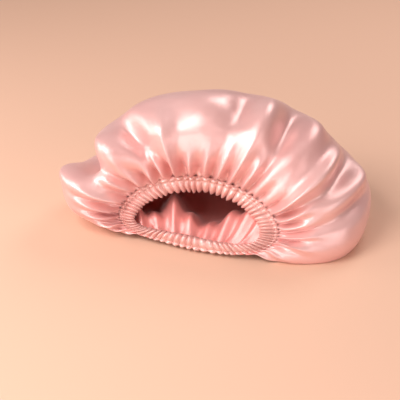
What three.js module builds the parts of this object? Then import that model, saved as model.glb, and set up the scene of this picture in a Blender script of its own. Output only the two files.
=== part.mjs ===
// A satin sleep bonnet, lying as it is put down on a shelf: a round pouch of thin satin whose edge
// is gathered onto an elastic band. It rests on its flattened under side with the mouth facing the
// front and a little upwards, and the cloth stands up in soft puffs behind and beside the band.
//
// Millimetres, +Z up, the mouth towards -Y, origin under the middle of the bounding box.
// Two pieces: the elastic band, a ribbed ring, and the crown, a hollow thin-walled pouch.

import * as THREE from "three";

// Driving sizes of the crown, the satin pouch.
const crownWidth = 320; // lobe to lobe
const crownDepth = 176; // lower lip to the back
const crownHeight = 137;
const clothThickness = 1.6;

// Driving sizes of the mouth and its band.
const mouthWidth = 138; // inside the band's free edge, side to side
const mouthDepth = 44; // how far the upper lip's edge lies behind the lower lip's
const mouthRise = 38; // how far the upper lip's edge lies above the lower lip's
const lipHeight = 14; // the lower lip's edge above the ground
const bandWidth = 17; // free edge to seam
const bandThickness = 4;
const seamGap = 0.6; // clearance between the band and the crown

// Driving sizes of the gathers.
const gatherCount = 30;
const ribsPerGather = 2;
const ribHeight = 1.1; // the band's ribs, from their middle to their top
const gatherHeight = 4.2; // the crown's gathers, from their middle to their top
const gatherReach = 62; // how far the longest gather runs up the cloth
const settleDepth = 2; // how softly the under side turns into its flat rest

// How finely the solids are faceted.
const columnsPerGather = 4;
const crownRows = 20;
const probe = 1e-3; // step of the finite differences that give the surface normals

const turn = 2 * Math.PI;
const degrees = Math.PI / 180;
const columns = gatherCount * columnsPerGather;

// Rings of the bonnet. A ring has a half width, and points at its sides, top and bottom. shift moves
// its middle to the right, skew sets its right side back and its left side forward, swing does the
// same to its lower half only, and sag widens that half and narrows the upper one by that share.
const ringParts = [
  "half",
  "shift",
  "skew",
  "swing",
  "sag",
  "sideY",
  "sideZ",
  "topY",
  "topZ",
  "lowY",
  "lowZ",
];

// The band's free edge. The sides of the mouth hang between its two lips.
const edgeRing = {
  half: mouthWidth / 2,
  shift: 0,
  skew: 0,
  swing: mouthDepth * -0.2,
  sag: 0,
  sideY: mouthDepth * 0.36,
  sideZ: lipHeight + mouthRise * 0.26,
  topY: mouthDepth,
  topZ: lipHeight + mouthRise,
  lowY: bandWidth * 0.45,
  lowZ: lipHeight,
};

// From the free edge, the band runs outwards at the sides, upwards and slightly forwards at the top,
// and forwards and down over the lower lip. Shares of the band's width.
const seamRing = {
  half: edgeRing.half + bandWidth * 0.95,
  shift: 0,
  skew: 0,
  swing: edgeRing.swing,
  sag: 0,
  sideY: edgeRing.sideY + bandWidth * 0.16,
  sideZ: edgeRing.sideZ + bandWidth * 0.05,
  topY: edgeRing.topY - bandWidth * 0.26,
  topZ: edgeRing.topZ + bandWidth * 0.96,
  lowY: edgeRing.lowY - bandWidth * 0.35,
  lowZ: edgeRing.lowZ - bandWidth * 0.57,
};

// The widest ring, over both side lobes, and the middle of the crown at the back.
const widestRing = {
  half: crownWidth / 2,
  shift: crownWidth * 0.02,
  skew: crownDepth * 0.12,
  swing: crownDepth * -0.2,
  sag: 0.16,
  sideY: crownDepth * 0.45,
  sideZ: crownHeight * 0.34,
  topY: crownDepth * 0.57,
  topZ: crownHeight,
  lowY: crownDepth * 0.6,
  lowZ: crownHeight * -0.13,
};
const backRing = {
  half: 0,
  shift: crownWidth * 0.03,
  skew: 0,
  swing: 0,
  sag: 0,
  sideY: crownDepth,
  sideZ: crownHeight * 0.43,
  topY: crownDepth,
  topZ: crownHeight * 0.43,
  lowY: crownDepth,
  lowZ: crownHeight * 0.43,
};

// The band's share of the way, before the seam at 0 and the middle of the back at 1.
const bandShare = 0.07;

// Sections between those rings: each value is the share of the way from one ring to the next.
const frontSections = [
  { along: 0.0, half: 0.0, sideY: 0.0, sideZ: 0.0, topY: 0.0, topZ: 0.0, lowY: 0.0, lowZ: 0.0 },
  { along: 0.06, half: 0.19, sideY: -0.1, sideZ: 0.18, topY: -0.08, topZ: 0.21, lowY: 0.06, lowZ: 0.2 },
  { along: 0.14, half: 0.44, sideY: -0.13, sideZ: 0.45, topY: -0.04, topZ: 0.46, lowY: 0.24, lowZ: 0.59 },
  { along: 0.24, half: 0.74, sideY: 0.05, sideZ: 0.73, topY: 0.17, topZ: 0.75, lowY: 0.45, lowZ: 0.85 },
  { along: 0.36, half: 0.94, sideY: 0.47, sideZ: 0.91, topY: 0.54, topZ: 0.95, lowY: 0.72, lowZ: 1.0 },
  { along: 0.5, half: 1.0, sideY: 1.0, sideZ: 1.0, topY: 1.0, topZ: 1.0, lowY: 1.0, lowZ: 1.0 },
];
const backSections = [
  { along: 0.65, half: 0.08, sideY: 0.4, sideZ: 0.17, topY: 0.42, topZ: 0.15, lowY: 0.38, lowZ: 0.07 },
  { along: 0.79, half: 0.3, sideY: 0.75, sideZ: 0.5, topY: 0.75, topZ: 0.43, lowY: 0.69, lowZ: 0.29 },
  { along: 0.91, half: 0.64, sideY: 0.94, sideZ: 0.83, topY: 0.93, topZ: 0.73, lowY: 0.91, lowZ: 0.62 },
  { along: 1.0, half: 1.0, sideY: 1.0, sideZ: 1.0, topY: 1.0, topZ: 1.0, lowY: 1.0, lowZ: 1.0 },
];

// Puffs and dents of the cloth. around and wide are in degrees from the right-hand side, over the
// top; along and long are shares of the way from seam to back. lean is how many degrees a puff turns
// over the whole way, and rise is a share of the crown's height, below 0 for a dent.
const puffs = [
  { around: 330, along: 0.24, wide: 24, long: 0.17, lean: 0, rise: 0.14 }, // lower right lobe
  { around: 25, along: 0.62, wide: 24, long: 0.25, lean: 0, rise: -0.05 },
  { around: 132, along: 0.52, wide: 22, long: 0.26, lean: 0, rise: 0.06 },
  { around: 144, along: 0.36, wide: 8, long: 0.18, lean: 40, rise: 0.06 }, // upper left puff
  { around: 159, along: 0.42, wide: 7, long: 0.19, lean: 30, rise: -0.18 }, // notch over the left lobe
  { around: 167, along: 0.64, wide: 12, long: 0.15, lean: 0, rise: -0.08 },
  { around: 171, along: 0.38, wide: 8, long: 0.16, lean: 20, rise: 0.05 },
  { around: 128, along: 0.3, wide: 5, long: 0.16, lean: 48, rise: -0.11 }, // deep valley beside it
  { around: 96, along: 0.34, wide: 20, long: 0.14, lean: 0, rise: 0.05 }, // middle puff
  { around: 82, along: 0.3, wide: 5, long: 0.1, lean: 10, rise: -0.05 },
  { around: 68, along: 0.26, wide: 6, long: 0.14, lean: 0, rise: 0.04 },
  { around: 57, along: 0.36, wide: 5, long: 0.2, lean: 0, rise: -0.08 }, // valley right of the middle
  { around: 45, along: 0.4, wide: 7, long: 0.2, lean: 0, rise: 0.03 },
  { around: 30, along: 0.3, wide: 5, long: 0.18, lean: 0, rise: 0.06 }, // right-hand ridge
  { around: 23, along: 0.38, wide: 5, long: 0.14, lean: 0, rise: -0.05 },
  { around: 14, along: 0.46, wide: 6, long: 0.14, lean: 0, rise: 0.04 },
];

function mixRings(from, to, share) {
  const ring = { along: share.along };
  for (const part of ringParts) {
    const way = share[part] ?? share.half;
    ring[part] = from[part] + (to[part] - from[part]) * way;
  }
  return ring;
}

// All rings from the free edge to the back, and one more past the back: the last section seen from
// its far side, which makes the cloth run smoothly over the middle of the crown.
function bonnetRings() {
  const rings = [
    { ...edgeRing, along: -bandShare },
    ...frontSections.map((share) => mixRings(seamRing, widestRing, share)),
    ...backSections.map((share) => mixRings(widestRing, backRing, share)),
  ];
  const last = rings.at(-2);
  rings.push({
    ...last,
    along: 2 - last.along,
    half: -last.half,
    skew: -last.skew,
    swing: -last.swing,
    sag: -last.sag,
    topY: last.lowY,
    topZ: last.lowZ,
    lowY: last.topY,
    lowZ: last.topZ,
  });
  return rings;
}

const rings = bonnetRings();

// The ring at a share of the way along the cloth, on a smooth curve through the sections.
function ringAt(along) {
  let right = 1;
  while (right < rings.length - 2 && rings[right].along < along) right += 1;
  const [a, b] = [rings[right - 1], rings[right]];
  const before = rings[Math.max(right - 2, 0)];
  const after = rings[Math.min(right + 1, rings.length - 1)];
  const span = b.along - a.along;
  const t = (along - a.along) / span;
  const ring = {};
  for (const part of ringParts) {
    const leave = ((b[part] - before[part]) / (b.along - before.along)) * span;
    const arrive = ((after[part] - a[part]) / (after.along - a.along)) * span;
    ring[part] =
      a[part] * (2 * t ** 3 - 3 * t ** 2 + 1) +
      leave * (t ** 3 - 2 * t ** 2 + t) +
      b[part] * (3 * t ** 2 - 2 * t ** 3) +
      arrive * (t ** 3 - t ** 2);
  }
  return ring;
}

// A point on a ring. around runs from the right-hand side over the top to the left and underneath.
function ringPoint(ring, around) {
  const [c, s] = [Math.cos(around), Math.sin(around)];
  const through = (side, top, low) => side + ((top - low) / 2) * s + ((top + low) / 2 - side) * s * s;
  return new THREE.Vector3(
    ring.shift + ring.half * c * (1 - ring.sag * s),
    through(ring.sideY, ring.topY, ring.lowY) + (ring.skew + ring.swing * Math.min(s, 0) ** 2) * c,
    through(ring.sideZ, ring.topZ, ring.lowZ),
  );
}

function bump(distance, width) {
  return Math.exp(-((distance / width) ** 2));
}

function angleBetween(a, b) {
  return Math.abs(THREE.MathUtils.euclideanModulo(a - b + Math.PI, turn) - Math.PI);
}

function puffRise(around, along) {
  let rise = 0;
  for (const puff of puffs) {
    const middle = (puff.around + puff.lean * (along - puff.along)) * degrees;
    const aside = bump(angleBetween(around, middle), puff.wide * degrees);
    rise += puff.rise * crownHeight * aside * bump(along - puff.along, puff.long);
  }
  return rise;
}

// The band's ribs, which run on a little way into the crown.
function ribRise(around) {
  return ribHeight * Math.cos(gatherCount * ribsPerGather * around);
}

// The length of cloth from the seam to the widest ring, over the top.
const frontLength = Math.hypot(widestRing.topY - seamRing.topY, widestRing.topZ - seamRing.topZ) * 1.2;

// Each gather has its own reach, so that long and short ones follow each other round the mouth. Those
// under the lower lip are pressed flat.
function gatherRise(around, along) {
  const number = Math.floor((around / turn) * gatherCount);
  const reach = (gatherReach / frontLength / 2) * (0.66 + 0.34 * Math.sin(number * 2.4));
  const pressed = 1 - 0.8 * Math.max(-Math.sin(around), 0);
  const strength = pressed * Math.min(along / 0.06, 1) ** 1.5 * bump(along, reach);
  return gatherHeight * strength * Math.sin(gatherCount * around);
}

// The under side is pressed flat where it lies: what would sink below the ground ends on it.
function settled(point) {
  const k = settleDepth;
  if (point.z < k) point.z = point.z < -k ? 0 : (point.z + k) ** 2 / (4 * k);
  return point;
}

// The outward direction of a surface given as a function of around and along.
function outwardOf(surface, around, along) {
  const across = surface(around + probe, along).sub(surface(around - probe, along));
  const up = surface(around, along + probe).sub(surface(around, along - probe));
  return up.cross(across).normalize();
}

const plainBonnet = (around, along) => ringPoint(ringAt(along), around);

function crownSkin(around, along) {
  const ribs = ribRise(around) * Math.max(1 - along / 0.05, 0);
  const rise = ribs + gatherRise(around, along) + puffRise(around, along);
  const outward = outwardOf(plainBonnet, around, along);
  return settled(plainBonnet(around, along).addScaledVector(outward, rise));
}

// The wall's inner face. Its rim stands square to the cloth, so that the gap at the seam is even.
function crownLining(around, along) {
  const square = outwardOf(plainBonnet, around, 0);
  const inward = outwardOf(crownSkin, around, along).lerp(square, Math.max(1 - along / 0.05, 0));
  return crownSkin(around, along).addScaledVector(inward.normalize(), -clothThickness);
}

// Rows of points become one closed skin: each list of points is a loop, and loops follow each other.
function closedSkin(loops, caps) {
  const count = loops[0].length;
  const points = loops.flat();
  const faces = [];
  const last = caps ? loops.length - 1 : loops.length;
  for (let row = 0; row < last; row += 1) {
    const next = (row + 1) % loops.length;
    for (let i = 0; i < count; i += 1) {
      const j = (i + 1) % count;
      const [a, b, c, d] = [row * count + i, row * count + j, next * count + j, next * count + i];
      faces.push(a, c, b, a, d, c);
    }
  }
  for (const cap of caps ?? []) {
    const centre = points.push(cap.centre) - 1;
    const start = cap.row * count;
    for (let i = 0; i < count; i += 1) {
      const j = (i + 1) % count;
      if (cap.row === 0) faces.push(start + i, start + j, centre);
      else faces.push(start + j, start + i, centre);
    }
  }
  const geometry = new THREE.BufferGeometry();
  geometry.setFromPoints(points);
  geometry.setIndex(faces);
  geometry.computeVertexNormals();
  return geometry;
}

const aroundAt = (column) => (column / columns) * turn;

function loopOf(pointAt) {
  return Array.from({ length: columns }, (_, column) => pointAt(aroundAt(column)));
}

// Rows stand closer together near the seam, where the gathers are small.
const rowAt = (row) => (row / crownRows) ** 1.35;

function crownGeometry() {
  const middle = 1 - probe;
  const loops = [];
  for (let row = crownRows - 1; row >= 0; row -= 1) {
    loops.push(loopOf((around) => crownLining(around, rowAt(row) + probe)));
  }
  for (let row = 0; row < crownRows; row += 1) {
    loops.push(loopOf((around) => crownSkin(around, rowAt(row) + probe)));
  }
  return closedSkin(loops, [
    { row: 0, centre: crownLining(0, middle) },
    { row: loops.length - 1, centre: crownSkin(0, middle) },
  ]);
}

// The band's section, from the free edge over the outer face to the seam, and back on the inner face.
// across is the share of the band's width from edge to seam; out is the share of its thickness.
const bandSection = [
  { across: 0.08, out: 0.3 },
  { across: 0.5, out: 0.5 },
  { across: 1.0, out: 0.25 },
  { across: 1.0, out: -0.05 },
  { across: 0.5, out: -0.5 },
  { across: 0.08, out: -0.3 },
];

function bandPoint(around, across) {
  const run = ringPoint(seamRing, around).distanceTo(ringPoint(edgeRing, around));
  return plainBonnet(around, -bandShare * (1 - across * (1 - seamGap / run)));
}

function bandGeometry() {
  const loops = bandSection.map(({ across, out }) =>
    loopOf((around) => {
      const outward = outwardOf(bandPoint, around, across);
      const rise = ribRise(around) + (out - 0.25) * bandThickness;
      return settled(bandPoint(around, across).addScaledVector(outward, rise));
    }),
  );
  return closedSkin(loops);
}

function satin(color, roughness) {
  return new THREE.MeshStandardMaterial({ color, roughness, metalness: 0, side: THREE.DoubleSide });
}

function piece(name, geometry, material) {
  const mesh = new THREE.Mesh(geometry, material);
  mesh.name = name;
  return mesh;
}

const bonnet = new THREE.Group();
bonnet.add(piece("crown", crownGeometry(), satin(0xe9b4ae, 0.32)));
bonnet.add(piece("elastic_band", bandGeometry(), satin(0xe6a8a4, 0.4)));

// The origin is under the middle of the bounding box.
const box = new THREE.Box3().setFromObject(bonnet, true);
const centre = box.getCenter(new THREE.Vector3());
bonnet.position.set(-centre.x, -centre.y, -box.min.z);

const part = new THREE.Group();
part.add(bonnet);

export default part;
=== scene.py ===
"""A pink satin sleep bonnet, lying as it is put down, with its mouth to the front.

The satin is one round of cloth. It is laid out flat as a grid, drawn in to the bonnet's rings,
folded and puffed from the tables below, and then let swell a little as cloth. The ruched casing
with the elastic is a ring of long ribs round the mouth, with a row of stitches near the seam.
Metres, +Z up, the mouth towards -Y.
"""

import math

import bpy
import numpy as np
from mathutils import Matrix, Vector


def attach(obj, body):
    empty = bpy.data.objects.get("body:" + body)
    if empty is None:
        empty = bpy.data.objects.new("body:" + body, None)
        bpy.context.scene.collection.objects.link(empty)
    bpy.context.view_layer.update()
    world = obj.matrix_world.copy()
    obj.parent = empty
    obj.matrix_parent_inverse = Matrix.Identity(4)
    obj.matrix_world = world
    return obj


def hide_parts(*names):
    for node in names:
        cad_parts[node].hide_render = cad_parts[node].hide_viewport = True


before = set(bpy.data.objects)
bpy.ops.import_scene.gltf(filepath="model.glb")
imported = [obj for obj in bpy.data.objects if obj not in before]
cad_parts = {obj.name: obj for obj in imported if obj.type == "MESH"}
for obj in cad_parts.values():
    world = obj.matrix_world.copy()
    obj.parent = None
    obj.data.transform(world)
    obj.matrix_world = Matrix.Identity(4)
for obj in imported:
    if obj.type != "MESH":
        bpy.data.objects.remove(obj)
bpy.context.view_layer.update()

# The bonnet's sizes, as the solids have them.
CROWN_WIDTH = 0.320
CROWN_DEPTH = 0.176
CROWN_HEIGHT = 0.137
MOUTH_WIDTH = 0.138
MOUTH_DEPTH = 0.044
MOUTH_RISE = 0.038
LIP_HEIGHT = 0.014
BAND_WIDTH = 0.017
UNDER_MIDDLE = np.array([-0.00719, -0.08835, 0.0])

# The cloth before it was sewn, and its wall.
FLAT_RADIUS = 0.24
CELLS = 200
WALL = 0.0009
SEAM_HOLD = 0.05  # share of the way up the cloth that the seam holds
LOW_HOLD = 0.006  # height above the floor below which the cloth stays where it lies
LEAST_HOLD = 0.1

# How far the cloth may swell, and how its movement is evened out before it is used.
SWELL_FRAMES = 16
SWELL_CAP = 0.007
SWELL_CELLS = 4.5
SWELL_SOFT_SHARE = 0.88
FLOOR_GAP = 0.0004

RING_PARTS = ("half", "shift", "skew", "swing", "sag",
              "sideY", "sideZ", "topY", "topZ", "lowY", "lowZ")

EDGE_RING = {
    "half": MOUTH_WIDTH / 2, "shift": 0, "skew": 0, "swing": MOUTH_DEPTH * -0.2, "sag": 0,
    "sideY": MOUTH_DEPTH * 0.36, "sideZ": LIP_HEIGHT + MOUTH_RISE * 0.26,
    "topY": MOUTH_DEPTH, "topZ": LIP_HEIGHT + MOUTH_RISE,
    "lowY": BAND_WIDTH * 0.45, "lowZ": LIP_HEIGHT,
}
SEAM_RING = {
    "half": EDGE_RING["half"] + BAND_WIDTH * 0.95, "shift": 0, "skew": 0,
    "swing": EDGE_RING["swing"], "sag": 0,
    "sideY": EDGE_RING["sideY"] + BAND_WIDTH * 0.16,
    "sideZ": EDGE_RING["sideZ"] + BAND_WIDTH * 0.05,
    "topY": EDGE_RING["topY"] - BAND_WIDTH * 0.26,
    "topZ": EDGE_RING["topZ"] + BAND_WIDTH * 0.96,
    "lowY": EDGE_RING["lowY"] - BAND_WIDTH * 0.35,
    "lowZ": EDGE_RING["lowZ"] - BAND_WIDTH * 0.57,
}
WIDEST_RING = {
    "half": CROWN_WIDTH / 2, "shift": CROWN_WIDTH * 0.02, "skew": CROWN_DEPTH * 0.12,
    "swing": CROWN_DEPTH * -0.2, "sag": 0.16,
    "sideY": CROWN_DEPTH * 0.45, "sideZ": CROWN_HEIGHT * 0.34,
    "topY": CROWN_DEPTH * 0.57, "topZ": CROWN_HEIGHT,
    "lowY": CROWN_DEPTH * 0.6, "lowZ": CROWN_HEIGHT * -0.13,
}
BACK_RING = {
    "half": 0, "shift": CROWN_WIDTH * 0.03, "skew": 0, "swing": 0, "sag": 0,
    "sideY": CROWN_DEPTH, "sideZ": CROWN_HEIGHT * 0.43,
    "topY": CROWN_DEPTH, "topZ": CROWN_HEIGHT * 0.43,
    "lowY": CROWN_DEPTH, "lowZ": CROWN_HEIGHT * 0.43,
}
BAND_SHARE = 0.07

# Shares of the way between rings: along, half, sideY, sideZ, topY, topZ, lowY, lowZ.
SECTION_PARTS = ("along", "half", "sideY", "sideZ", "topY", "topZ", "lowY", "lowZ")
FRONT_SECTIONS = (
    (0.00, 0.00, 0.00, 0.00, 0.00, 0.00, 0.00, 0.00),
    (0.06, 0.19, -0.10, 0.18, -0.08, 0.21, 0.06, 0.20),
    (0.14, 0.44, -0.13, 0.45, -0.04, 0.46, 0.24, 0.59),
    (0.24, 0.74, 0.05, 0.73, 0.17, 0.75, 0.45, 0.85),
    (0.36, 0.94, 0.47, 0.91, 0.54, 0.95, 0.72, 1.00),
    (0.50, 1.00, 1.00, 1.00, 1.00, 1.00, 1.00, 1.00),
)
BACK_SECTIONS = (
    (0.65, 0.08, 0.40, 0.17, 0.42, 0.15, 0.38, 0.07),
    (0.79, 0.30, 0.75, 0.50, 0.75, 0.43, 0.69, 0.29),
    (0.91, 0.64, 0.94, 0.83, 0.93, 0.73, 0.91, 0.62),
    (1.00, 1.00, 1.00, 1.00, 1.00, 1.00, 1.00, 1.00),
)

# Large puffs and dents: degrees round the mouth, share of the way up the cloth, how wide and how
# long they are, how far they lean, and their rise as a share of the crown's height.
PUFFS = (
    (330, 0.24, 24, 0.17, 0, 0.14),
    (25, 0.62, 24, 0.25, 0, -0.05),
    (128, 0.56, 22, 0.24, 0, 0.05),
    (143, 0.30, 7, 0.13, 40, 0.08),
    (158, 0.42, 7, 0.22, 40, -0.22),
    (150, 0.14, 5, 0.08, 0, 0.03),
    (167, 0.64, 12, 0.15, 0, -0.08),
    (171, 0.36, 8, 0.15, 20, 0.07),
    (127, 0.30, 4.5, 0.16, 48, -0.14),
    (112, 0.24, 5, 0.12, 20, 0.05),
    (96, 0.36, 12, 0.14, 0, 0.05),
    (80, 0.40, 5, 0.14, 0, -0.07),
    (68, 0.36, 6, 0.16, 0, 0.07),
    (57, 0.38, 5, 0.19, 0, -0.09),
    (45, 0.42, 7, 0.17, 0, 0.07),
    (31, 0.30, 4.5, 0.20, 0, 0.08),
    (23, 0.38, 5, 0.15, 0, -0.08),
    (13, 0.44, 6, 0.14, 0, 0.06),
    (3, 0.30, 5, 0.14, 0, -0.05),
)

# Folds that run up from the band, ridges and valleys in turn: degrees, width in degrees, reach in
# metres, lean in degrees a tenth of the way, rise in metres before FOLD_DEPTH deepens it.
FOLDS = (
    (176, 3.2, 0.060, 0, 0.0050), (168, 2.6, 0.075, 2, -0.0060), (160, 3.0, 0.070, 3, 0.0060),
    (151, 2.6, 0.055, 2, -0.0045), (146, 2.6, 0.050, 2, 0.0050), (140, 2.4, 0.060, 3, -0.0050),
    (134, 2.4, 0.050, 4, 0.0050), (128.5, 2.2, 0.045, 4, -0.0050), (124, 2.4, 0.030, 2, 0.0055),
    (119.5, 1.8, 0.036, 2, -0.0050), (115, 1.9, 0.055, 3, 0.0060), (110.5, 1.8, 0.045, 3, -0.0050),
    (106, 1.8, 0.056, 3, 0.0060), (101.5, 1.8, 0.040, 2, -0.0050), (97, 1.9, 0.036, 1, 0.0050),
    (92.5, 1.8, 0.036, 0, -0.0045), (88, 1.9, 0.040, 0, 0.0045), (83.5, 1.8, 0.050, -1, -0.0045),
    (79, 1.8, 0.045, -1, 0.0050), (74.5, 1.8, 0.045, -1, -0.0050), (70, 1.8, 0.055, -1, 0.0060),
    (65.5, 1.7, 0.050, -1, -0.0050), (61, 1.9, 0.050, -1, 0.0055), (56, 2.0, 0.060, 0, -0.0060),
    (51, 2.0, 0.036, 0, 0.0045), (46, 2.0, 0.040, 0, -0.0045), (40.5, 2.2, 0.034, 1, 0.0050),
    (35.5, 2.0, 0.045, 0, -0.0045), (30, 2.4, 0.070, 0, 0.0065), (24.5, 2.2, 0.060, 0, -0.0055),
    (19, 2.4, 0.045, 0, 0.0060), (13.5, 2.2, 0.045, 0, -0.0045), (8, 2.6, 0.040, 0, 0.0050),
    (2.5, 2.2, 0.065, -1, -0.0055), (357, 2.6, 0.045, -1, 0.0045), (351, 2.4, 0.050, -1, -0.0050),
    (345, 2.8, 0.050, -2, 0.0050), (338.5, 2.4, 0.050, -2, -0.0050), (332, 2.8, 0.040, -2, 0.0040),
    (182, 2.6, 0.045, 0, -0.0045), (188, 2.8, 0.050, 0, 0.0050), (194.5, 2.6, 0.045, 0, -0.0045),
    (201, 2.8, 0.040, 1, 0.0045), (208, 2.6, 0.040, 1, -0.0040),
)

FOLD_DEPTH = 1.3

# Pleats that stand up inside the mouth behind its lower lip: degrees, width, reach, rise.
INNER_PLEATS = (
    (229, 5.0, 0.080, 0.016), (238, 4.6, 0.100, 0.024), (247, 5.4, 0.085, 0.018),
    (256, 4.6, 0.130, 0.032), (264, 4.2, 0.085, 0.020), (273, 5.0, 0.085, 0.016),
    (281, 4.2, 0.110, 0.024), (289, 5.4, 0.130, 0.036), (297, 4.4, 0.140, 0.042),
    (304, 4.2, 0.130, 0.036), (311, 4.4, 0.110, 0.028),
)


def mix_rings(start, end, shares):
    """The ring that lies the given shares of the way from one ring to the next."""
    ring = {"along": shares["along"]}
    for part in RING_PARTS:
        way = shares.get(part, shares["half"])
        ring[part] = start[part] + (end[part] - start[part]) * way
    return ring


def bonnet_rings():
    """All rings from the free edge to the back, and the last one again, seen from its far side."""
    rings = [dict(EDGE_RING, along=-BAND_SHARE)]
    for row in FRONT_SECTIONS:
        rings.append(mix_rings(SEAM_RING, WIDEST_RING, dict(zip(SECTION_PARTS, row))))
    for row in BACK_SECTIONS:
        rings.append(mix_rings(WIDEST_RING, BACK_RING, dict(zip(SECTION_PARTS, row))))
    last = rings[-2]
    rings.append(dict(last, along=2 - last["along"], half=-last["half"], skew=-last["skew"],
                      swing=-last["swing"], sag=-last["sag"], topY=last["lowY"],
                      topZ=last["lowZ"], lowY=last["topY"], lowZ=last["topZ"]))
    return rings


RINGS = bonnet_rings()
RING_TABLE = np.array([[ring[part] for part in RING_PARTS] for ring in RINGS])
RING_ALONG = np.array([ring["along"] for ring in RINGS])


def plain_bonnet(around, along):
    """Points of the bonnet without its gathers, for arrays of angles and shares of the way."""
    right = np.clip(np.searchsorted(RING_ALONG, along), 1, len(RINGS) - 2)
    a, b = RING_TABLE[right - 1], RING_TABLE[right]
    first, last = np.maximum(right - 2, 0), right + 1
    span = (RING_ALONG[right] - RING_ALONG[right - 1])[:, None]
    t = (along - RING_ALONG[right - 1])[:, None] / span
    leave = (b - RING_TABLE[first]) / (RING_ALONG[right] - RING_ALONG[first])[:, None] * span
    arrive = (RING_TABLE[last] - a) / (RING_ALONG[last] - RING_ALONG[right - 1])[:, None] * span
    ring = (a * (2 * t ** 3 - 3 * t ** 2 + 1) + leave * (t ** 3 - 2 * t ** 2 + t)
            + b * (3 * t ** 2 - 2 * t ** 3) + arrive * (t ** 3 - t ** 2))
    half, shift, skew, swing, sag, side_y, side_z, top_y, top_z, low_y, low_z = ring.T
    c, s = np.cos(around), np.sin(around)

    def through(side, top, low):
        return side + (top - low) / 2 * s + ((top + low) / 2 - side) * s * s

    return np.stack([shift + half * c * (1 - sag * s),
                     through(side_y, top_y, low_y) + (skew + swing * np.minimum(s, 0) ** 2) * c,
                     through(side_z, top_z, low_z)], axis=1)


def outward_of(around, along):
    """The outward direction of the bonnet without its gathers."""
    step = 1e-3
    across = plain_bonnet(around + step, along) - plain_bonnet(around - step, along)
    up = plain_bonnet(around, along + step) - plain_bonnet(around, along - step)
    normal = np.cross(up, across)
    return normal / np.linalg.norm(normal, axis=1)[:, None]


def bump(distance, width):
    return np.exp(-(distance / width) ** 2)


def degrees_apart(around, middle):
    """How many degrees an angle lies from a fold's middle, from -180 to 180."""
    return (np.degrees(around) - middle + 180) % 360 - 180


def puff_rise(around, along):
    rise = np.zeros_like(along)
    for middle, share, wide, long, lean, height in PUFFS:
        aside = bump(degrees_apart(around, middle + lean * (along - share)), wide)
        rise += height * CROWN_HEIGHT * aside * bump(along - share, long)
    return rise


def fold_rise(around, along, cloth_way):
    """Folds that start at the band, stand highest a third of their way and fade out."""
    rise = np.zeros_like(along)
    for middle, wide, reach, lean, height in FOLDS:
        way = cloth_way / reach
        body = np.clip(way / 0.22, 0, 1) ** 0.8 * np.exp(-(np.maximum(way - 0.22, 0) / 0.5) ** 2)
        spread = wide * (1 + 0.55 * np.minimum(way, 1.6))
        apart = degrees_apart(around, middle + lean * along * 10)
        rise += FOLD_DEPTH * height * body * np.exp(-np.abs(apart / spread) ** 1.7)
    return rise


def pleat_rise(around, cloth_way):
    """Pleats of the lower cloth, which stand up inside the mouth."""
    rise = np.zeros_like(around)
    for middle, wide, reach, height in INNER_PLEATS:
        way = cloth_way / reach
        body = np.clip(way / 0.26, 0, 1) ** 1.1 * np.exp(-(np.maximum(way - 0.26, 0) / 0.4) ** 2)
        apart = degrees_apart(around, middle + way * (middle - 270) * 0.12)
        rise += height * body * np.exp(-np.abs(apart / wide) ** 1.6)
    return rise


def settle(points):
    """The under side is pressed flat where it lies."""
    k = 0.002
    z = points[:, 2]
    soft = np.where(z < -k, 0, (z + k) ** 2 / (4 * k))
    points[:, 2] = np.where(z < k, soft, z)
    return points


def crown_points(around, along):
    """The satin's outer face: puffs, folds, fine ruching at the seam, and the inner pleats."""
    plain = plain_bonnet(around, along)
    outward = outward_of(around, along)
    seam = plain_bonnet(around, np.zeros_like(along))
    cloth_way = np.linalg.norm(plain - seam, axis=1)
    ribs = 0.0016 * np.cos(66 * around) * np.exp(-(cloth_way / 0.010) ** 1.2)
    wander = 0.0016 * np.sin(9 * around + 1.3) * np.exp(-cloth_way / 0.05)
    fine = 0.0019 * np.sin(41 * around + 400 * wander) * np.exp(-((cloth_way - 0.012) / 0.012) ** 2)
    under = np.clip(-np.sin(around) * 1.25 - 0.1, 0, 1)
    rise = (ribs + fine + puff_rise(around, along)
            + fold_rise(around, along, cloth_way) * (1 - under))
    points = settle(plain + outward * rise[:, None])
    lift = pleat_rise(around, cloth_way) * np.clip(-np.sin(around) * 4 - 2.4, 0, 1)
    points[:, 2] += lift
    points[:, 1] += lift * 0.4
    points[:, 0] += lift * 0.45 * np.cos(around)
    return points + UNDER_MIDDLE


def disc_from_square(x, y):
    """Lays a square grid out as a round of cloth: angle, and share of the radius."""
    wide = np.abs(x) > np.abs(y)
    radius = np.where(wide, np.abs(x), np.abs(y))
    with np.errstate(divide="ignore", invalid="ignore"):
        turn_x = np.where(x > 0, 0, np.pi) + np.pi / 4 * np.nan_to_num(y / x)
        turn_y = np.where(y > 0, np.pi / 2, -np.pi / 2) - np.pi / 4 * np.nan_to_num(x / y)
    return np.where(wide, turn_x, turn_y), radius


def deselect():
    for obj in bpy.context.selected_objects:
        obj.select_set(False)


def only(obj):
    deselect()
    obj.select_set(True)
    bpy.context.view_layer.objects.active = obj


def place_points(obj, points):
    obj.data.vertices.foreach_set("co", np.asarray(points, dtype=np.float32).ravel())
    obj.data.update()


def read_points(obj):
    points = np.empty(len(obj.data.vertices) * 3, dtype=np.float32)
    obj.data.vertices.foreach_get("co", points)
    return points.reshape(-1, 3).astype(float)


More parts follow.
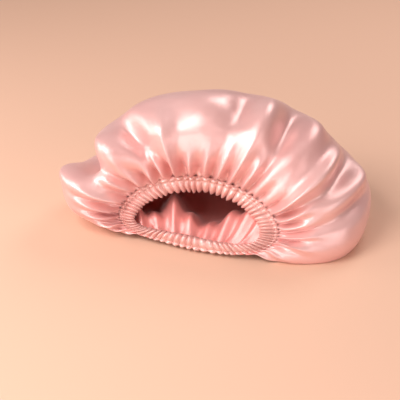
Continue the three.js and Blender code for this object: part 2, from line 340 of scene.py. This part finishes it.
def soften(moved, cells):
    """Evens out how far the points of the square cloth moved, over the given number of cells."""
    side = int(round(len(moved) ** 0.5))
    reach = int(3 * cells)
    weights = bump(np.arange(-reach, reach + 1), cells * 1.4)
    weights /= weights.sum()
    field = moved.reshape(side, side, 3)
    for axis in (0, 1):
        field = np.moveaxis(field, axis, 0)
        padded = np.concatenate([np.repeat(field[:1], reach, 0), field,
                                 np.repeat(field[-1:], reach, 0)])
        field = sum(weight * padded[i:i + side] for i, weight in enumerate(weights))
        field = np.moveaxis(field, 0, axis)
    return field.reshape(-1, 3)


def swell_cloth(obj, hold):
    """Lets the satin swell and find its folds as cloth. Points near the seam are held."""
    start = read_points(obj)
    pins = obj.vertex_groups.new(name="held")
    for level in range(11):
        chosen = np.nonzero(np.rint(hold * 10) == level)[0].tolist()
        if chosen:
            pins.add(chosen, level / 10, "REPLACE")
    only(obj)
    cloth = obj.modifiers.new("satin", "CLOTH")
    settings = cloth.settings
    settings.vertex_group_mass = "held"
    settings.quality = 6
    settings.mass = 0.12
    settings.tension_stiffness = 18
    settings.compression_stiffness = 18
    settings.shear_stiffness = 6
    settings.bending_stiffness = 4
    settings.pin_stiffness = 1.0
    settings.use_pressure = True
    settings.uniform_pressure_force = 2.5
    settings.shrink_min = -0.028
    settings.effector_weights.gravity = 0
    cloth.collision_settings.use_collision = False
    scene = bpy.context.scene
    cloth.point_cache.frame_start = 1
    cloth.point_cache.frame_end = SWELL_FRAMES
    for step in range(1, SWELL_FRAMES + 1):
        scene.frame_set(step)
    bpy.ops.object.modifier_apply(modifier=cloth.name)
    scene.frame_set(1)
    obj.vertex_groups.clear()
    moved = read_points(obj) - start
    moved = SWELL_SOFT_SHARE * soften(moved, SWELL_CELLS) + (1 - SWELL_SOFT_SHARE) * moved
    length = np.linalg.norm(moved, axis=1)
    moved *= (SWELL_CAP / np.maximum(length, SWELL_CAP))[:, None]
    points = start + moved
    points[:, 2] = np.maximum(points[:, 2], FLOOR_GAP)
    place_points(obj, points)


def make_crown():
    """The round of satin, drawn in to the seam, and given its thickness."""
    deselect()
    bpy.ops.mesh.primitive_grid_add(x_subdivisions=CELLS, y_subdivisions=CELLS, size=2)
    crown = bpy.context.object
    crown.name = "satin_crown"
    flat = read_points(crown)
    around, radius = disc_from_square(flat[:, 0], flat[:, 1])
    along = np.clip(1 - radius, 0, 0.999)
    layer = crown.data.uv_layers.active or crown.data.uv_layers.new(name="cloth")
    layer.name = "cloth"
    loops = np.empty(len(crown.data.loops), dtype=np.int32)
    crown.data.loops.foreach_get("vertex_index", loops)
    laid = np.stack([radius * np.cos(around), radius * np.sin(around)], axis=1) * FLAT_RADIUS
    layer.data.foreach_set("uv", laid[loops].astype(np.float32).ravel())
    place_points(crown, crown_points(around, along))
    hold = np.clip(1 - along / SEAM_HOLD, 0, 1)
    low = np.clip(1 - read_points(crown)[:, 2] / LOW_HOLD, 0, 1)
    swell_cloth(crown, np.maximum(np.maximum(hold, low), LEAST_HOLD))
    only(crown)
    bpy.ops.object.mode_set(mode="EDIT")
    bpy.ops.mesh.select_all(action="SELECT")
    bpy.ops.mesh.normals_make_consistent(inside=False)
    bpy.ops.object.mode_set(mode="OBJECT")
    wall = crown.modifiers.new("wall", "SOLIDIFY")
    wall.thickness = WALL
    wall.offset = -1
    outer = len(crown.data.vertices)
    bpy.ops.object.modifier_apply(modifier=wall.name)
    bpy.ops.object.shade_smooth()
    # The inner face is marked so the satin paints it darker and redder: painted shade inside the
    # bonnet.
    inside = crown.data.attributes.new("inner_face_painted_shade", "FLOAT", "POINT")
    side = np.zeros(len(crown.data.vertices), dtype=np.float32)
    side[outer:] = 1
    inside.data.foreach_set("value", side)
    return crown


def band_rings(count, section):
    """Points of a ring along the mouth. section gives, for an angle, (across, out) in shares of
    the band's width and in metres."""
    around = np.arange(count) / count * 2 * np.pi
    loops = []
    for across, out in section(around):
        across = np.broadcast_to(across, around.shape)
        along = -BAND_SHARE * (1 - across)
        middle = plain_bonnet(around, along)
        outward = outward_of(around, along)
        loops.append(middle + outward * np.broadcast_to(out, around.shape)[:, None])
    return loops


def closed_ring(name, loops, count):
    """A ring whose section is closed: a strip of cloth whose ends and whose edges are joined."""
    deselect()
    bpy.ops.mesh.primitive_grid_add(x_subdivisions=count, y_subdivisions=len(loops), size=2)
    ring = bpy.context.object
    ring.name = name
    flat = read_points(ring)
    column = np.rint((flat[:, 0] + 1) / 2 * count).astype(int) % count
    row = np.rint((flat[:, 1] + 1) / 2 * len(loops)).astype(int) % len(loops)
    place_points(ring, np.stack(loops)[row, column] + UNDER_MIDDLE)
    only(ring)
    bpy.ops.object.mode_set(mode="EDIT")
    bpy.ops.mesh.select_all(action="SELECT")
    bpy.ops.mesh.remove_doubles(threshold=1e-7)
    bpy.ops.mesh.normals_make_consistent(inside=False)
    bpy.ops.object.mode_set(mode="OBJECT")
    bpy.ops.object.shade_smooth()
    return ring


RUFFLES = 66
RUFFLE_COLUMNS = 12
RUFFLE_HEIGHT = 0.0052
SCALLOP = 0.14


def ruffle(around, sharp):
    """The ruched casing's ribs, a little uneven in place."""
    uneven = 0.4 * np.sin(7 * around + 0.6) + 0.3 * np.sin(13 * around + 2.1)
    wave = np.abs(np.cos(RUFFLES / 2 * around + uneven))
    return wave ** sharp


def band_section(around):
    """The casing's section, from the scalloped free edge over the outer face and back inside."""
    puff = ruffle(around, 0.65)
    size = 1 + 0.18 * np.sin(11 * around + 1) + 0.14 * np.sin(23 * around)
    lift = (puff - 0.55) * RUFFLE_HEIGHT * size
    scallop = -SCALLOP * puff * size
    profile = (
        (-0.02, 0.0002, 0.4), (0.02, 0.0020, 0.7), (0.12, 0.0034, 1.0), (0.28, 0.0040, 1.0),
        (0.45, 0.0038, 1.0), (0.60, 0.0030, 0.95), (0.70, 0.0020, 0.7), (0.77, 0.0009, 0.4),
        (0.84, 0.0014, 0.6), (0.92, 0.0018, 0.9), (1.00, 0.0010, 0.9), (1.05, -0.0002, 0.6),
        (1.00, -0.0012, 0.4), (0.80, -0.0018, 0.4), (0.50, -0.0020, 0.5), (0.22, -0.0018, 0.5),
        (0.06, -0.0012, 0.4),
    )
    for across, out, gather in profile:
        edge = scallop if across < 0.2 else 0.35 * scallop if across < 0.4 else 0
        yield across + edge, out + lift * gather * (1 if out > 0 else -0.6)


def make_band():
    count = RUFFLES * RUFFLE_COLUMNS
    loops = band_rings(count, band_section)
    band = closed_ring("ruched_casing", loops, count)
    points = read_points(band)
    points[:, 2] = np.maximum(points[:, 2], 0.0006)
    place_points(band, points)
    return band


def make_stitches():
    """A row of stitches round the casing near the seam, one for each of its ribs."""
    count = RUFFLES
    around = (np.arange(count) + 0.5) / count * 2 * np.pi
    along = np.full(count, -BAND_SHARE * 0.23)
    middle = plain_bonnet(around, along)
    outward = outward_of(around, along)
    ahead = plain_bonnet(around + 0.01, along) - middle
    stitches = []
    deselect()
    bpy.ops.mesh.primitive_uv_sphere_add(segments=8, ring_count=5, radius=1)
    model = bpy.context.object
    model.name = "casing_stitches"
    ball = read_points(model)
    faces = [tuple(face.vertices) for face in model.data.polygons]
    points, polygons = [], []
    for i in range(count):
        x = ahead[i] / np.linalg.norm(ahead[i])
        z = outward[i]
        y = np.cross(z, x)
        base = middle[i] + z * 0.0011 + UNDER_MIDDLE
        local = ball * np.array([0.0013, 0.00035, 0.0003])
        points.append(base + local[:, :1] * x + local[:, 1:2] * y + local[:, 2:] * z)
        polygons += [tuple(v + i * len(ball) for v in face) for face in faces]
    mesh = bpy.data.meshes.new("casing_stitches")
    mesh.from_pydata(np.concatenate(points).tolist(), [], polygons)
    model.data = mesh
    only(model)
    bpy.ops.object.mode_set(mode="EDIT")
    bpy.ops.mesh.select_all(action="SELECT")
    bpy.ops.mesh.normals_make_consistent(inside=False)
    bpy.ops.object.mode_set(mode="OBJECT")
    bpy.ops.object.shade_smooth()
    return model


def linear(red, green, blue):
    """A colour as it looks on screen, turned into light."""
    def part(v):
        v = v / 255
        return v / 12.92 if v <= 0.04045 else ((v + 0.055) / 1.055) ** 2.4
    return (part(red), part(green), part(blue), 1)


def add_node(tree, kind, at, **values):
    node = tree.nodes.new(kind)
    node.location = at
    for name, value in values.items():
        setattr(node, name, value)
    return node


def satin(name, body, shade, roughness, weave):
    """Satin: a close weave of long threads, soft bright gloss, a tone that drifts a little, and
    painted shade on the inner face.
    """
    material = bpy.data.materials.new(name)
    material.use_nodes = True
    tree = material.node_tree
    shader = tree.nodes["Principled BSDF"]
    link = tree.links.new
    where = add_node(tree, "ShaderNodeTexCoord", (-1300, 0))
    drift = add_node(tree, "ShaderNodeTexNoise", (-1000, 200))
    drift.inputs["Scale"].default_value = 14
    drift.inputs["Detail"].default_value = 3
    link(where.outputs["Object"], drift.inputs["Vector"])
    tone = add_node(tree, "ShaderNodeValToRGB", (-760, 200))
    tone.color_ramp.elements[0].position = 0.3
    tone.color_ramp.elements[0].color = shade
    tone.color_ramp.elements[1].position = 0.62
    tone.color_ramp.elements[1].color = body
    link(drift.outputs["Fac"], tone.inputs["Fac"])
    # The marked inner face takes a darker, redder colour: painted shade inside the mouth.
    inside = add_node(tree, "ShaderNodeAttribute", (-760, 420), attribute_name="inner_face_painted_shade")
    deep = add_node(tree, "ShaderNodeMix", (-480, 300), data_type="RGBA")
    deep.inputs["B"].default_value = INNER_SHADE_PAINT
    link(inside.outputs["Fac"], deep.inputs["Factor"])
    link(tone.outputs["Color"], deep.inputs["A"])
    link(deep.outputs["Result"], shader.inputs["Base Color"])
    gloss = add_node(tree, "ShaderNodeTexNoise", (-1000, -100))
    gloss.inputs["Scale"].default_value = 60
    link(where.outputs["Object"], gloss.inputs["Vector"])
    spread = add_node(tree, "ShaderNodeMapRange", (-760, -100))
    spread.inputs["To Min"].default_value = roughness - 0.05
    spread.inputs["To Max"].default_value = roughness + 0.07
    link(gloss.outputs["Fac"], spread.inputs["Value"])
    link(spread.outputs["Result"], shader.inputs["Roughness"])
    threads = add_node(tree, "ShaderNodeTexWave", (-1000, -400), wave_type="BANDS")
    threads.inputs["Scale"].default_value = weave
    threads.inputs["Distortion"].default_value = 1.5
    link(where.outputs["UV"], threads.inputs["Vector"])
    slubs = add_node(tree, "ShaderNodeTexNoise", (-1000, -650))
    slubs.inputs["Scale"].default_value = 260
    slubs.inputs["Detail"].default_value = 4
    link(where.outputs["Object"], slubs.inputs["Vector"])
    both = add_node(tree, "ShaderNodeMath", (-760, -500), operation="ADD")
    link(threads.outputs["Fac"], both.inputs[0])
    link(slubs.outputs["Fac"], both.inputs[1])
    weave_bump = add_node(tree, "ShaderNodeBump", (-520, -400))
    weave_bump.inputs["Strength"].default_value = 0.12
    weave_bump.inputs["Distance"].default_value = 0.0004
    link(both.outputs["Value"], weave_bump.inputs["Height"])
    link(weave_bump.outputs["Normal"], shader.inputs["Normal"])
    shader.inputs["Metallic"].default_value = 0.3
    shader.inputs["Specular IOR Level"].default_value = 0.8
    shader.inputs["IOR"].default_value = 1.75
    shader.inputs["Sheen Weight"].default_value = 0.2
    shader.inputs["Sheen Roughness"].default_value = 0.35
    shader.inputs["Sheen Tint"].default_value = (1.0, 0.88, 0.85, 1)
    shader.inputs["Anisotropic"].default_value = 0.35
    return material


def plain_material(name, color, roughness):
    material = bpy.data.materials.new(name)
    material.use_nodes = True
    shader = material.node_tree.nodes["Principled BSDF"]
    shader.inputs["Base Color"].default_value = color
    shader.inputs["Roughness"].default_value = roughness
    return material


def dress(piece, material):
    piece.data.materials.clear()
    piece.data.materials.append(material)
    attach(piece, "root")


def aimed(name, light, place, aim):
    lamp = bpy.data.objects.new(name, light)
    bpy.context.scene.collection.objects.link(lamp)
    lamp.location = place
    direction = Vector(aim) - Vector(place)
    lamp.rotation_euler = direction.to_track_quat("-Z", "Y").to_euler()
    return lamp


def soft_box(name, place, aim, size, power, color):
    light = bpy.data.lights.new(name, "AREA")
    light.shape = "SQUARE"
    light.size = size
    light.energy = power
    light.color = color
    return aimed(name, light, place, aim)


def set_studio():
    """The camera at the photograph's angle, a pale floor and soft light, most from the upper left."""
    scene = bpy.context.scene
    camera_data = bpy.data.cameras.new("camera")
    camera_data.lens = 99
    camera_data.sensor_width = 36
    camera = bpy.data.objects.new("camera", camera_data)
    scene.collection.objects.link(camera)
    camera.location = (0.24873, -1.01540, 0.61856)
    camera.rotation_euler = (math.radians(60), 0, math.radians(15))
    scene.camera = camera
    deselect()
    bpy.ops.mesh.primitive_plane_add(size=6)
    floor = bpy.context.object
    floor.name = "floor"
    floor.data.materials.append(plain_material("pale_floor", linear(230, 186, 160), 0.7))
    aim = (0, 0, 0.05)
    soft_box("key", (-0.55, -0.65, 0.95), aim, 0.70, 11.5, (1, 0.97, 0.96))
    soft_box("side", (-1.0, -0.20, 0.35), aim, 0.5, 4, (1, 0.96, 0.94))
    soft_box("front", (-0.10, -1.0, 0.28), aim, 0.4, 3, (1, 0.95, 0.93))
    soft_box("fill", (1.0, -0.7, 0.50), aim, 0.6, 3, (1, 0.95, 0.94))
    soft_box("rim", (0.35, 0.8, 0.9), aim, 0.6, 5, (1, 0.95, 0.93))
    world = bpy.data.worlds.new("studio")
    world.use_nodes = True
    back = world.node_tree.nodes["Background"]
    back.inputs["Color"].default_value = (1, 0.88, 0.83, 1)
    back.inputs["Strength"].default_value = 0.28
    scene.world = world
    scene.view_settings.view_transform = "Standard"


set_studio()

PINK = linear(241, 190, 185)
ROSE = linear(232, 173, 168)
# Darker, redder colour for the inner face of the same satin: painted shade inside the bonnet.
INNER_SHADE_PAINT = linear(239, 146, 138)
crown_satin = satin("crown_satin", PINK, ROSE, 0.34, 900)
band_satin = satin("band_satin", linear(240, 194, 186), linear(232, 176, 168), 0.33, 700)
thread = plain_material("thread", linear(214, 140, 132), 0.6)

crown = make_crown()
dress(crown, crown_satin)
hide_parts("crown")

band = make_band()
dress(band, band_satin)
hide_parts("elastic_band")

stitches = make_stitches()
dress(stitches, thread)

deselect()
